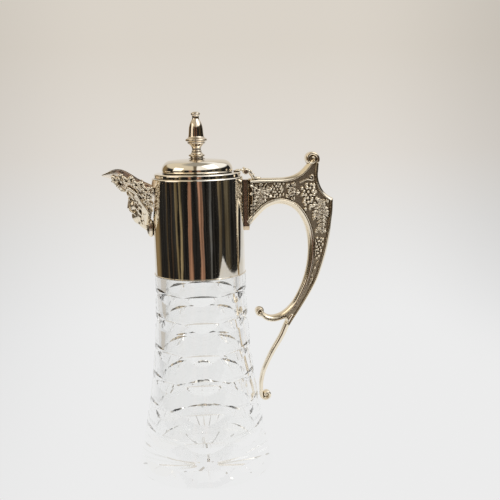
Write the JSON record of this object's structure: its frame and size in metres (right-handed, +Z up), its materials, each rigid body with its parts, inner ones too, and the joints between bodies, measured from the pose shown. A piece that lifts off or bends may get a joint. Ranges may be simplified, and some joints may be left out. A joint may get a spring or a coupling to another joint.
{
  "type": "claret jug",
  "caption": "Tall claret jug: flared lens-cut glass body in a plated metal collar, with a hinged domed lid and finial, a bearded mask spout and a panelled scroll handle.",
  "frame": {"origin": "centre of the flat under the glass foot, on the jug's axis", "axes": "+Z up along the jug's axis, +X towards the handle, -X towards the spout"},
  "size_m": [0.1777, 0.1074, 0.279],
  "materials": {
    "glass": "clear lens-cut glass, polished",
    "plaster": "cast white plaster",
    "silver_plate": "polished silver plate, warm with age",
    "cast_silver_plate": "cast and chased silver plate, dark in the hollows",
    "brass": "plain turned brass"
  },
  "bodies": {
    "jug": {"glass_body": "glass", "plaster_bed": "plaster", "collar_sleeve": "silver_plate", "collar_rim_ring": "silver_plate", "collar_foot_wire": "silver_plate", "handle_bar": "silver_plate", "handle_casting": "cast_silver_plate", "handle_tail": "cast_silver_plate", "hinge_bracket": "silver_plate", "hinge_pin": "silver_plate", "spout_lip": "silver_plate", "spout_mask": "cast_silver_plate", "spout_wreath": "cast_silver_plate"},
    "lid": {"lid_flange": "silver_plate", "lid_dome": "silver_plate", "lid_bezel": "silver_plate", "finial_seat_ring": "silver_plate", "finial": "silver_plate", "finial_stud": "brass", "finial_washer": "brass", "finial_nut": "brass", "lid_hinge_strap": "silver_plate"}
  },
  "joints": [
    {"name": "lid_hinge", "type": "hinge", "parent": "jug", "child": "lid", "pos_m": [0.037, 0, 0.23255], "axis": [0, 1, 0], "range_deg": [0, 100]}
  ]
}
